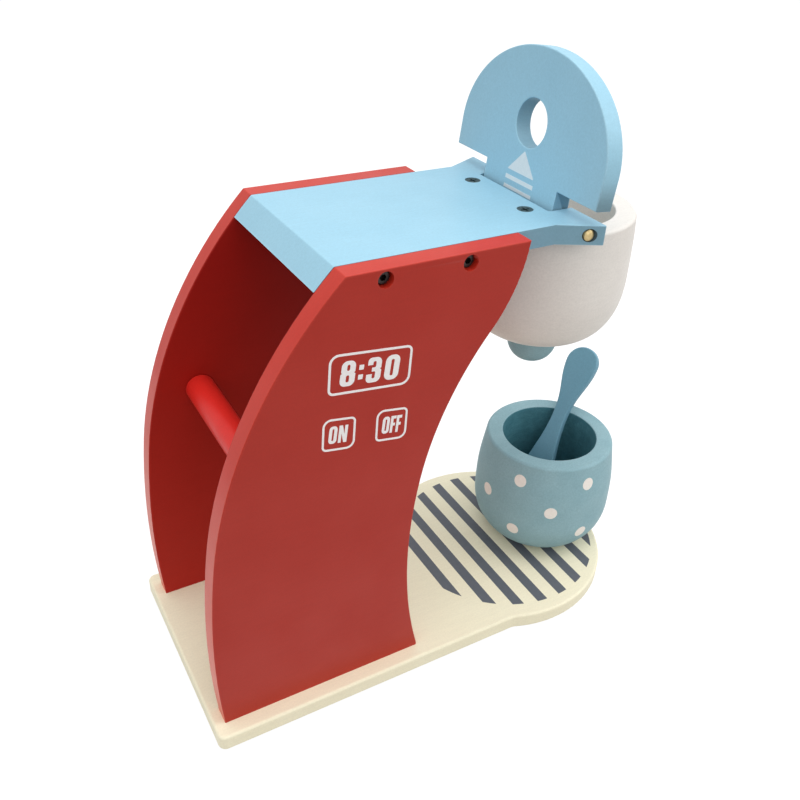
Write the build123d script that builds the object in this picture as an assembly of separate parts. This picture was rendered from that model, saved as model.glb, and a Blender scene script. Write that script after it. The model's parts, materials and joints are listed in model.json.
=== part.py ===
from build123d import *
import math
import os

# Toy coffee maker of painted wood.  Millimetres.  +X points forward, from the handle
# towards the cup, +Y to the machine's left, +Z up.  The origin is the middle of the
# underside of the base board.

# ---- Base board
base_length = 258.0
base_width = 120.0
base_thickness = 9.0
base_nose_swell = 5.0            # how far the round front end bulges past the straight sides
base_neck_blend = 8.0            # where the straight sides meet the round end
base_corner_radius = 4.0
base_edge_round = 1.5

# ---- Side panels, seen from the side: the foot stands on the base, the head is at the top
base_margin = 8.0                # base showing on each side of the panels
panel_thickness = 10.0
panel_height = 218.0
panel_edge_round = 0.5
foot_allowance = 5.0             # extra length at the foot, sawn off after the edges are rounded
foot_straight = 1.5              # upright part of the front and rear edges at the foot
foot_blend = 8.0                 # from the upright part into the curves above
foot_setback = 5.5               # rear end of the foot, in front of the base's rear edge
foot_length = 104.5
belly_height = 39.0              # rear edge: furthest back
belly_depth = 1.9                # how far the belly lies behind the foot's rear end
shoulder_height = 97.6           # rear edge: where the low arc turns into the high arc
shoulder_lead = 1.9              # how far the shoulder lies ahead of the foot's rear end
head_rear_lead = 61.3            # virtual rear corner of the head, ahead of the foot's rear end
head_corner_radius = 1.2
waist_height = 68.0              # front edge: furthest back
waist_depth = 8.5                # how far the waist lies behind the foot's front end
knee_height = 111.0              # front edge: where the low arc turns into the middle arc
knee_depth = 4.4                 # how far the knee lies behind the foot's front end
brow_drop = 37.5                 # front edge: where the middle arc turns convex, below the top
brow_lead = 26.5                 # how far the brow lies ahead of the foot's front end
head_front_lead = 41.4           # front corner of the head, ahead of the foot's front end

# ---- Top block between the panels, with two ears that hold the lid
block_thickness = 9.0
block_front_lead = 40.3          # front of the ears, ahead of the panels' front corners
block_overlap = 10.0             # how far the full-height front part reaches back into the panels
ear_length = 20.0                # from the kink to the front of the ears
ear_corner_radius = 0.6
block_edge_round = 0.4
notch_depth = 12.6
notch_corner_radius = 1.5

# ---- Lid and its hinge
lid_thickness = 8.6
lid_lean = 6.6                   # degrees forward of upright, as it stands open
lid_overhang = 1.0               # how far the lid reaches past each panel's outer face
lid_dome = 42.6                  # length of the elliptical end
lid_dome_start = 24.7            # from the hinge axis
lid_shoulder = 11.9              # from the hinge axis to the straight shoulders
lid_tab_width = 53.8
lid_tab_gap = 0.8                # between each end of the tab and its ear
lid_edge_round = 0.6
finger_hole_radius = 10.75
finger_hole_reach = 35.0         # from the hinge axis to the hole's centre
hinge_setback = 6.4              # pin axis behind the front of the ears
pin_radius = 1.5
pin_head_radius = 2.7
pin_head_rim = 1.5               # straight part of the head, below its dome
pin_head_dome = 1.4
pin_in_tab = 12.0                # how far each pin reaches into the tab
pin_end_gap = 0.5
pin_running_clearance = 0.05
pin_recess_clearance = 0.3
pin_recess_depth = 0.3           # at its shallow, rear side
glue_clearance = 0.02            # around what is pressed or glued in

# ---- Turned pieces
round_fullness = 0.5523          # makes a rounded corner a quarter of an ellipse

# ---- Bowl under the ears
bowl_centre_lead = 11.5          # bowl axis, ahead of the front of the ears
bowl_rim_radius = 40.7
bowl_belly_radius = 41.8
bowl_belly_drop = 33.0           # widest place, below the rim
bowl_wall_bend = 0.4             # where the wall bends most, as a share of that drop
bowl_height = 67.2
bowl_fullness = 0.64             # more than round_fullness, less than the 1 of a square corner
bowl_cavity_radius = 30.6
bowl_cavity_depth = 55.0
bowl_cavity_corner = 22.0
bowl_inner_edge_round = 0.8
bowl_outer_edge_round = 1.8

# ---- Nozzle under the bowl
nozzle_radius = 13.4
nozzle_height = 18.4
nozzle_collar = 3.0              # straight part at the top
nozzle_fullness = 0.65
nozzle_edge_round = 0.4

# ---- Cross dowel between the panels
dowel_radius = 7.0
dowel_setback = 29.8             # ahead of the foot's rear end
dowel_height = 126.3             # above the base board
dowel_chamfer = 1.0              # its shoulders sit on the panels
tenon_radius = 4.0
tenon_length = 6.0
tenon_end_gap = 0.5

# ---- Cup
cup_centre_lead = 97.8           # cup axis, ahead of the origin
cup_rim_radius = 36.2
cup_belly_radius = 39.8
cup_belly_height = 27.0
cup_wall_flare = 0.6             # how early the wall turns in towards the rim
cup_height = 66.8
cup_foot_radius = 18.0
cup_bore_radius = 27.0
cup_floor_thickness = 9.0
cup_bore_corner = 12.0
cup_inner_edge_round = 0.8
cup_outer_edge_round = 2.0
cup_fullness = 0.56

# ---- Spoon leaning in the cup
spoon_length = 110.5
spoon_thickness = 4.6
spoon_handle_half_width = 9.7
spoon_neck_half_width = 5.2
spoon_scoop_half_width = 11.4
spoon_neck_near = 54.0           # from the tip to where the scoop has narrowed into the neck
spoon_neck_far = 78.0            # from the tip to where the neck widens into the handle
spoon_edge_round = 0.8
spoon_dish_radius = 8.4
spoon_dish_depth = 1.6
spoon_dish_lead = 2.0            # the dish's centre, ahead of the scoop's widest place
spoon_heading = 22.2             # degrees from +X towards +Y
spoon_side_offset = 4.5          # its plane beside the cup's axis
spoon_tip_reach = 16.5           # tip, behind the cup's axis
loose_clearance = 0.3            # between the spoon, the cup and the base

# ---- Screws
side_screw_first = 78.3          # ahead of the foot's rear end
side_screw_pitch = 38.4
side_screw_radius = 1.75
side_screw_length = 26.0
side_head_radius = 3.0
side_head_height = 3.2
side_head_edge_round = 0.4
side_hex_width = 2.6             # across the flats of the socket
side_hex_depth = 2.0
side_counterbore_radius = 3.5
side_counterbore_depth = 5.6
screw_tip_ratio = 1.6            # length of a screw's point over its shank's radius
flat_screw_radius = 1.5
flat_head_radius = 3.75
flat_head_sink = 0.2             # flat heads lie this far below the wood
cross_slot_width = 0.9
cross_slot_length = 4.4
cross_slot_depth = 1.3
bowl_screw_setback = 20.9        # behind the front of the ears
bowl_screw_spacing = 42.0
bowl_screw_length = 24.0
base_screw_length = 32.0
base_screw_inset = 22.0          # from each end of the foot
nozzle_screw_length = 22.0

pick = 0.1                       # tolerance when edges and corners are picked by place

# ---- Places worked out from the sizes above
base_rear = -base_length / 2
base_top = base_thickness
nose_radius = base_width / 2 + base_nose_swell
nose_x = base_length / 2 - nose_radius
body_width = base_width - 2 * base_margin
foot_rear = base_rear + foot_setback
foot_front = foot_rear + foot_length
panel_outer = body_width / 2
panel_inner = panel_outer - panel_thickness
panel_middle = panel_outer - panel_thickness / 2
top = base_top + panel_height
head_front = foot_front + head_front_lead
block_bottom = top - block_thickness
block_middle = top - block_thickness / 2
ear_front = head_front + block_front_lead
ear_kink = ear_front - ear_length
notch_back = ear_front - notch_depth
notch_half = lid_tab_width / 2 + lid_tab_gap
lid_half_width = panel_outer + lid_overhang
hinge_x = ear_front - hinge_setback
hinge_z = block_middle
ear_slope = (panel_outer - panel_inner) / ear_length
ear_side_at_pin = panel_inner + ear_slope * (hinge_x - ear_kink)
dowel_x = foot_rear + dowel_setback
dowel_z = base_top + dowel_height
bowl_x = ear_front + bowl_centre_lead
bowl_top = block_bottom
bowl_bottom = bowl_top - bowl_height
bowl_floor = bowl_top - bowl_cavity_depth
cup_x = cup_centre_lead
cup_top = base_top + cup_height
cup_floor = base_top + cup_floor_thickness
bowl_screw_x = ear_front - bowl_screw_setback


def rear_edge(x_start, z_start):
    """The panels' rear edge as a chain of tangent arcs, from the foot to the head."""
    low = ThreePointArc(
        (x_start, z_start + foot_straight),
        (x_start - belly_depth, z_start + belly_height),
        (x_start + shoulder_lead, z_start + shoulder_height),
    )
    high = TangentArc(low @ 1, (x_start + head_rear_lead, z_start + panel_height), tangent=low % 1)
    return low, high


def panel_face():
    """Outline of a side panel in the X-Z plane, with an allowance below the base's top."""
    rear_low, rear_high = rear_edge(foot_rear, base_top)
    front_low = ThreePointArc(
        (foot_front, base_top + foot_straight),
        (foot_front - waist_depth, base_top + waist_height),
        (foot_front - knee_depth, base_top + knee_height),
    )
    front_middle = TangentArc(
        front_low @ 1, (foot_front + brow_lead, top - brow_drop), tangent=front_low % 1
    )
    front_high = TangentArc(front_middle @ 1, (head_front, top), tangent=front_middle % 1)
    head = Line(rear_high @ 1, front_high @ 1)
    sawn = base_top - foot_allowance
    foot = Polyline(rear_low @ 0, (foot_rear, sawn), (foot_front, sawn), front_low @ 0)
    outline = make_face([rear_low, rear_high, head, front_high, front_middle, front_low, foot])
    foot_corners = [v for v in outline.vertices() if abs(v.Y - base_top - foot_straight) < pick]
    outline = fillet(foot_corners, foot_blend)
    rear_corner = outline.vertices().filter_by_position(Axis.Y, top - pick, top + pick)
    return fillet(rear_corner.sort_by(Axis.X)[0], head_corner_radius)


def stand_up(face, y_from, thickness):
    """Extrude a face drawn as (x, z) along +Y, starting at y_from."""
    plane = Plane(origin=(0, y_from, 0), x_dir=(1, 0, 0), z_dir=(0, -1, 0))
    return extrude(plane * face, amount=thickness, dir=(0, 1, 0))


def turned(points_and_edges, x, z):
    """Revolve a closed (radius, height) wire about a vertical axis at x."""
    solid = revolve(Plane.XZ * make_face(points_and_edges), Axis.Z)
    return Pos(x, 0, z) * solid


def quarter(start, end, fullness):
    """A rounded corner: leaves start downwards and reaches end sideways."""
    run = end[0] - start[0]
    drop = end[1] - start[1]
    return Bezier(
        start,
        (start[0], start[1] + drop * fullness),
        (end[0] - run * fullness, end[1]),
        end,
    )


def round_rim(body, inner_round, outer_round):
    """Round the two edges of a hollow turned piece's flat top ring."""
    rings = body.faces().filter_by(Axis.Z).sort_by(Axis.Z)[-1].edges().sort_by(Edge.length)
    body = fillet(rings[0], inner_round)
    outer = body.faces().filter_by(Axis.Z).sort_by(Axis.Z)[-1].edges().sort_by(Edge.length)[-1]
    return fillet(outer, outer_round)


def flat_screw(length):
    """Countersunk cross-head screw: head up, top of the head at z = 0."""
    head_depth = flat_head_radius - flat_screw_radius
    tip = flat_screw_radius * screw_tip_ratio
    shank_length = length - head_depth - tip
    head = Pos(0, 0, -head_depth / 2) * Cone(flat_screw_radius, flat_head_radius, head_depth)
    shank = Pos(0, 0, -head_depth - shank_length / 2) * Cylinder(flat_screw_radius, shank_length)
    point = Pos(0, 0, -length + tip / 2) * Cone(0, flat_screw_radius, tip)
    slot = Box(cross_slot_length, cross_slot_width, 2 * cross_slot_depth)
    return head + shank + point - slot - Rot(0, 0, 90) * slot


def flat_screw_hole(length):
    """What a countersunk screw needs cut out: its own shape and the sink above its head."""
    wall = flat_screw_radius + glue_clearance
    mouth = flat_head_radius + glue_clearance
    head_depth = flat_head_radius - flat_screw_radius
    cone = Pos(0, 0, -head_depth / 2) * Cone(wall, mouth, head_depth)
    bore = Pos(0, 0, -length / 2) * Cylinder(wall, length)
    sink = Pos(0, 0, flat_head_sink / 2) * Cylinder(mouth, flat_head_sink)
    return cone + bore + sink


def side_screw():
    """Hex-socket screw along -Y: underside of the head at y = 0, head towards +Y."""
    head = Pos(0, 0, side_head_height / 2) * Cylinder(side_head_radius, side_head_height)
    head = fillet(head.edges().sort_by(Axis.Z)[-1], side_head_edge_round)
    hexagon = RegularPolygon(side_hex_width / 2, 6, major_radius=False)
    socket = Pos(0, 0, side_head_height - side_hex_depth) * extrude(hexagon, amount=side_hex_depth)
    tip = side_screw_radius * screw_tip_ratio
    shank_length = side_screw_length - tip
    shank = Pos(0, 0, -shank_length / 2) * Cylinder(side_screw_radius, shank_length)
    point = Pos(0, 0, -side_screw_length + tip / 2) * Cone(0, side_screw_radius, tip)
    return Rot(-90, 0, 0) * (head - socket + shank + point)


def side_screw_hole():
    """Bore and counterbore of a side screw, seat at y = 0, mouth towards +Y."""
    wall = side_screw_radius + glue_clearance
    bore = Pos(0, 0, -side_screw_length / 2) * Cylinder(wall, side_screw_length)
    depth = 2 * side_counterbore_depth
    mouth = Pos(0, 0, depth / 2) * Cylinder(side_counterbore_radius, depth)
    return Rot(-90, 0, 0) * (bore + mouth)


side_screw_places = [
    (foot_rear + side_screw_first + i * side_screw_pitch, block_middle) for i in range(2)
]
base_screw_places = [foot_rear + base_screw_inset, foot_front - base_screw_inset]
side_seat = panel_outer - side_counterbore_depth
sides = {"left": 1, "right": -1}


def to_side(shape, side):
    """Shapes are drawn for the left (+Y) side; the right side is their mirror image."""
    return shape if side > 0 else mirror(shape, about=Plane.XZ)


def base_board():
    straight = Pos((base_rear + nose_x) / 2, 0) * Rectangle(nose_x - base_rear, base_width)
    outline = straight + Pos(nose_x, 0) * Circle(nose_radius)
    corners = outline.vertices().group_by(Axis.X)[0]
    outline = fillet(corners, base_corner_radius)
    necks = [v for v in outline.vertices() if v.X > base_rear + 2 * base_corner_radius]
    outline = fillet(necks, base_neck_blend)
    board = extrude(outline, amount=base_thickness)
    rims = board.faces().filter_by(Axis.Z).edges()
    board = fillet(rims, base_edge_round)
    for side in sides.values():
        for x in base_screw_places:
            board -= base_screw_at(x, side * panel_middle, flat_screw_hole(base_screw_length))
    return board


def base_screw_at(x, y, shape):
    """Base screws point up, their heads sunk in the underside."""
    return Pos(x, y, flat_head_sink) * Rot(180, 0, 0) * shape


def bowl_screw_at(side, shape):
    """Bowl screws point down through the top block, their heads sunk in its top."""
    return Pos(bowl_screw_x, side * bowl_screw_spacing / 2, top - flat_head_sink) * shape


def nozzle_screw_at(shape):
    """The nozzle screw points down, its head sunk in the bowl's floor."""
    return Pos(bowl_x, 0, bowl_floor - flat_head_sink) * shape


def side_panel(side):
    panel = stand_up(panel_face(), panel_inner, panel_thickness)
    panel = fillet(panel.faces().filter_by(Axis.Y).edges(), panel_edge_round)
    panel = split(panel, bisect_by=Plane.XY.offset(base_top), keep=Keep.TOP)
    for x, z in side_screw_places:
        panel -= Pos(x, side_seat, z) * side_screw_hole()
    for x in base_screw_places:
        panel -= base_screw_at(x, panel_middle, flat_screw_hole(base_screw_length))
    socket = Cylinder(tenon_radius + glue_clearance, 2 * (tenon_length + tenon_end_gap))
    panel -= Pos(dowel_x, panel_inner, dowel_z) * Rot(90, 0, 0) * socket
    return to_side(panel, side)


def top_block():
    front = [
        (foot_rear, panel_inner),
        (ear_kink, panel_inner),
        (ear_front, panel_outer),
        (ear_front, notch_half),
        (notch_back, notch_half),
        (notch_back, -notch_half),
        (ear_front, -notch_half),
        (ear_front, -panel_outer),
        (ear_kink, -panel_inner),
        (foot_rear, -panel_inner),
    ]
    plan = make_face(Polyline(*front, close=True))
    ear_tips = [v for v in plan.vertices() if v.X > ear_front - pick and abs(v.Y) > panel_inner]
    plan = fillet(ear_tips, ear_corner_radius)
    notch_corners = [v for v in plan.vertices() if abs(v.X - notch_back) < pick]
    plan = fillet(notch_corners, notch_corner_radius)
    board = Pos(0, 0, block_bottom) * extrude(plan, amount=block_thickness)
    between_panels = stand_up(panel_face(), -panel_outer, body_width)
    ahead_of_panels = Pos(ear_front, 0, block_middle) * Box(
        block_front_lead + block_overlap,
        body_width,
        2 * block_thickness,
        align=(Align.MAX, Align.CENTER, Align.CENTER),
    )
    board = board & (between_panels + ahead_of_panels)
    ahead_edges = board.edges().filter_by(lambda e: e.center().X > head_front + pick)
    level = [e for e in ahead_edges if abs(e.tangent_at(0.5).Z) < pick]
    board = fillet(level, block_edge_round)
    for x, z in side_screw_places:
        for side in sides.values():
            board -= to_side(Pos(x, side_seat, z) * side_screw_hole(), side)
    for side in sides.values():
        board -= bowl_screw_at(side, flat_screw_hole(bowl_screw_length))
        board -= to_side(hinge_pin_hole(), side)
    return board


def hinge_pin_hole():
    """Hole through an ear and the recess for the pin's domed head."""
    wall = pin_radius + glue_clearance
    recess = pin_head_radius + pin_recess_clearance
    bore = Pos(0, 0, panel_outer / 2) * Cylinder(wall, panel_outer)
    mouth = Pos(0, 0, pin_seat + panel_outer / 2) * Cylinder(recess, panel_outer)
    return Pos(hinge_x, 0, hinge_z) * Rot(-90, 0, 0) * (bore + mouth)


pin_seat = ear_side_at_pin - ear_slope * (pin_head_radius + pin_recess_clearance) - pin_recess_depth
tab_half = lid_tab_width / 2
lid_open_angle = 90 - lid_lean


def hinge_pin(side):
    """Domed pin: the head lies in the ear's recess, the end reaches into the lid's tab."""
    inner_end = tab_half - pin_in_tab
    length = pin_seat - inner_end
    shank = Pos(0, 0, inner_end + length / 2) * Cylinder(pin_radius, length)
    dome_radius = (pin_head_radius**2 + pin_head_dome**2) / (2 * pin_head_dome)
    rim = (pin_head_radius, pin_head_rim)
    crown = (0, pin_head_rim + pin_head_dome)
    dome = RadiusArc(rim, crown, -dome_radius)
    head = turned([dome, Polyline(crown, (0, 0), (pin_head_radius, 0), rim)], 0, pin_seat)
    pin = Pos(hinge_x, 0, hinge_z) * Rot(-90, 0, 0) * (shank + head)
    return to_side(pin, side)


def lid():
    """Drawn closed, lying forward of the hinge axis, then turned up to where it stands."""
    arch = EllipticalCenterArc((lid_dome_start, 0), lid_dome, lid_half_width, -90, arc_size=180)
    corners = [
        (lid_dome_start, lid_half_width),
        (lid_shoulder, lid_half_width),
        (lid_shoulder, tab_half),
        (0, tab_half),
        (0, -tab_half),
        (lid_shoulder, -tab_half),
        (lid_shoulder, -lid_half_width),
        (lid_dome_start, -lid_half_width),
    ]
    outline = make_face([arch, Polyline(*corners)])
    outline -= Pos(finger_hole_reach, 0) * Circle(finger_hole_radius)
    plate = Pos(0, 0, -lid_thickness / 2) * extrude(outline, amount=lid_thickness)
    rims = plate.faces().filter_by(Axis.Z).edges()
    rims = rims.filter_by(lambda e: e.center().X > lid_shoulder - pick)
    plate = fillet(rims, lid_edge_round)
    plate += Rot(90, 0, 0) * Cylinder(lid_thickness / 2, lid_tab_width)
    bore_depth = pin_in_tab + pin_end_gap
    bore = Rot(90, 0, 0) * Cylinder(pin_radius + pin_running_clearance, bore_depth)
    for side in sides.values():
        plate -= Pos(0, side * (tab_half - bore_depth / 2), 0) * bore
    return Pos(hinge_x, 0, hinge_z) * Rot(0, -lid_open_angle, 0) * plate


def bowl():
    rim = (bowl_rim_radius, 0)
    belly = (bowl_belly_radius, -bowl_belly_drop)
    seat = (nozzle_radius, -bowl_height)
    inner_rim = (bowl_cavity_radius, 0)
    inner_low = (bowl_cavity_radius, -bowl_cavity_depth + bowl_cavity_corner)
    inner_floor = (bowl_cavity_radius - bowl_cavity_corner, -bowl_cavity_depth)
    wall = Bezier(rim, (bowl_belly_radius, -bowl_belly_drop * bowl_wall_bend), belly)
    body = turned(
        [
            wall,
            quarter(belly, seat, bowl_fullness),
            Polyline(seat, (0, -bowl_height), (0, -bowl_cavity_depth), inner_floor),
            quarter(inner_low, inner_floor, round_fullness),
            Polyline(inner_low, inner_rim, rim),
        ],
        bowl_x,
        bowl_top,
    )
    body = round_rim(body, bowl_inner_edge_round, bowl_outer_edge_round)
    for side in sides.values():
        body -= bowl_screw_at(side, flat_screw_hole(bowl_screw_length))
    return body - nozzle_screw_at(flat_screw_hole(nozzle_screw_length))


def nozzle():
    collar = (nozzle_radius, -nozzle_collar)
    tip = (0, -nozzle_height)
    body = turned(
        [
            Polyline((0, 0), (nozzle_radius, 0), collar),
            quarter(collar, tip, nozzle_fullness),
            Line(tip, (0, 0)),
        ],
        bowl_x,
        bowl_bottom,
    )
    body = fillet(body.faces().sort_by(Axis.Z)[-1].edges(), nozzle_edge_round)
    return body - nozzle_screw_at(flat_screw_hole(nozzle_screw_length))


def cross_dowel():
    length = 2 * panel_inner
    rod = Cylinder(dowel_radius, length)
    rod = chamfer(rod.edges().filter_by(GeomType.CIRCLE), dowel_chamfer)
    rod += Cylinder(tenon_radius, length + 2 * tenon_length)
    return Pos(dowel_x, 0, dowel_z) * Rot(90, 0, 0) * rod


def cup():
    rim = (cup_rim_radius, cup_height)
    belly = (cup_belly_radius, cup_belly_height)
    foot = (cup_foot_radius, 0)
    bore_rim = (cup_bore_radius, cup_height)
    bore_low = (cup_bore_radius, cup_floor_thickness + cup_bore_corner)
    bore_floor = (cup_bore_radius - cup_bore_corner, cup_floor_thickness)
    half_wall = (cup_height - cup_belly_height) / 2
    upper_wall = (cup_belly_radius - cup_wall_flare, cup_height - half_wall)
    lower_wall = (cup_belly_radius, cup_height - half_wall)
    wall = Bezier(rim, upper_wall, lower_wall, belly)
    body = turned(
        [
            wall,
            quarter(belly, foot, cup_fullness),
            Polyline(foot, (0, 0), (0, cup_floor_thickness), bore_floor),
            quarter(bore_low, bore_floor, round_fullness),
            Polyline(bore_low, bore_rim, rim),
        ],
        cup_x,
        base_top,
    )
    return round_rim(body, cup_inner_edge_round, cup_outer_edge_round)


def spoon_tilt():
    """Degrees off upright at which the spoon's back just clears the cup's rim."""
    side_reach = spoon_side_offset + spoon_neck_half_width
    rim_reach = math.sqrt(cup_bore_radius**2 - side_reach**2) + spoon_tip_reach
    rise = cup_top - cup_floor - loose_clearance
    offset = spoon_thickness / 2 + loose_clearance
    return math.degrees(math.atan2(rim_reach, rise) - math.asin(offset / math.hypot(rim_reach, rise)))


def spoon_face():
    """Outline with the tip at the origin and the handle along +X."""
    handle_x = spoon_length - spoon_handle_half_width
    scoop_x = spoon_scoop_half_width
    handle = ThreePointArc(
        (handle_x, -spoon_handle_half_width),
        (spoon_length, 0),
        (handle_x, spoon_handle_half_width),
    )
    scoop = ThreePointArc(
        (scoop_x, spoon_scoop_half_width), (0, 0), (scoop_x, -spoon_scoop_half_width)
    )
    edges = [handle, scoop]
    for side in sides.values():
        edges.append(
            Spline(
                (scoop_x, side * spoon_scoop_half_width),
                (spoon_neck_near, side * spoon_neck_half_width),
                (spoon_neck_far, side * spoon_neck_half_width),
                (handle_x, side * spoon_handle_half_width),
                tangents=((1, 0), (1, 0)),
            )
        )
    return make_face(edges)


def spoon():
    blade = Pos(0, 0, -spoon_thickness / 2) * extrude(spoon_face(), amount=spoon_thickness)
    blade = fillet(blade.faces().filter_by(Axis.Z).edges(), spoon_edge_round)
    ball_radius = (spoon_dish_radius**2 + spoon_dish_depth**2) / (2 * spoon_dish_depth)
    ball_height = spoon_thickness / 2 + ball_radius - spoon_dish_depth
    blade -= Pos(spoon_scoop_half_width + spoon_dish_lead, 0, ball_height) * Sphere(ball_radius)
    tilt = spoon_tilt()
    tip_lift = loose_clearance + spoon_thickness / 2 * math.sin(math.radians(tilt))
    standing = Rot(0, tilt - 90, 0) * blade
    placed = Pos(-spoon_tip_reach, spoon_side_offset, cup_floor + tip_lift) * standing
    return Pos(cup_x, 0, 0) * Rot(0, 0, spoon_heading) * placed


def make_all():
    pieces = {
        "base_board": base_board(),
        "top_block": top_block(),
        "lid": lid(),
        "bowl": bowl(),
        "nozzle": nozzle(),
        "nozzle_screw": nozzle_screw_at(flat_screw(nozzle_screw_length)),
        "cross_dowel": cross_dowel(),
        "cup": cup(),
        "spoon": spoon(),
    }
    for name, side in sides.items():
        pieces["side_panel_" + name] = side_panel(side)
        pieces["hinge_pin_" + name] = hinge_pin(side)
        pieces["bowl_screw_" + name] = bowl_screw_at(side, flat_screw(bowl_screw_length))
        for end, (x, z) in zip(("rear", "front"), side_screw_places):
            screw = Pos(x, side_seat, z) * side_screw()
            pieces["side_screw_" + name + "_" + end] = to_side(screw, side)
        for end, x in zip(("rear", "front"), base_screw_places):
            screw = base_screw_at(x, side * panel_middle, flat_screw(base_screw_length))
            pieces["base_screw_" + name + "_" + end] = screw
    return pieces


os.makedirs("parts", exist_ok=True)
for name, shape in make_all().items():
    export_step(shape, "parts/" + name + ".step")
    print(name, round(shape.volume), "mm3")
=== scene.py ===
import json
import math

import bmesh
import bpy
from mathutils import Matrix, Vector


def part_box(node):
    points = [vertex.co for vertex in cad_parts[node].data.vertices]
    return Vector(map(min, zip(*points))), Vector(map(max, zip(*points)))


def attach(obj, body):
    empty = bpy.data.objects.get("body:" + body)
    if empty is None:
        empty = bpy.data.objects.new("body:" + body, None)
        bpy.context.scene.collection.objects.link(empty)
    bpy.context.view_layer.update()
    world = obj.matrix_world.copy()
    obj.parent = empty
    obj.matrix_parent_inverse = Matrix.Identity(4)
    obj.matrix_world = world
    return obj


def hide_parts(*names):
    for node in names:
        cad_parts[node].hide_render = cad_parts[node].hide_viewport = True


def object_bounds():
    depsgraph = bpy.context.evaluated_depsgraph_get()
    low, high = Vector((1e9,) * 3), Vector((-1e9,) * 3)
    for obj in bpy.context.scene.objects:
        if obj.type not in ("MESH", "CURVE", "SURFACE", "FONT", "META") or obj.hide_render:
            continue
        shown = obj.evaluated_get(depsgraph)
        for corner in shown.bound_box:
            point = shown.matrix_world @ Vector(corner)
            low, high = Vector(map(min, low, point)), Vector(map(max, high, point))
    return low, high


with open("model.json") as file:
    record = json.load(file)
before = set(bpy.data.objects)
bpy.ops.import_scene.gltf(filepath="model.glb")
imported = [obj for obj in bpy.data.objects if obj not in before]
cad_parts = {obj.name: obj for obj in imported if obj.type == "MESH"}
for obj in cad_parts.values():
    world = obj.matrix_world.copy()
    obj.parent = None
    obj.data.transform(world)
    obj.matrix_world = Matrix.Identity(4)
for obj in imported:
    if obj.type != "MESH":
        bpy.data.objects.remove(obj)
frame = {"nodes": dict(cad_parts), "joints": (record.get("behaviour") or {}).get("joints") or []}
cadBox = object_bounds()
mm = 0.001
print("frame loaded:", len(frame["nodes"]), "nodes")


def linearColour(hexCode):
    channels = [int(hexCode[i:i + 2], 16) / 255 for i in (0, 2, 4)]
    return [c / 12.92 if c <= 0.04045 else ((c + 0.055) / 1.055) ** 2.4 for c in channels] + [1.0]


def addNode(tree, kind, inputs=None, **settings):
    # an input is a value, a socket to link from, or a node whose first output is linked
    node = tree.nodes.new(kind)
    for name, value in settings.items():
        setattr(node, name, value)
    for name, value in (inputs or {}).items():
        if isinstance(value, bpy.types.Node):
            value = value.outputs[0]
        if isinstance(value, bpy.types.NodeSocket):
            tree.links.new(value, node.inputs[name])
        else:
            node.inputs[name].default_value = value
    return node


def newMaterial(name):
    material = bpy.data.materials.new(name)
    material.use_nodes = True
    material.node_tree.nodes.clear()
    return material, material.node_tree


noiseSpan = {"From Min": 0.3, "From Max": 0.7}      # most of a noise texture's values lie here


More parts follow.
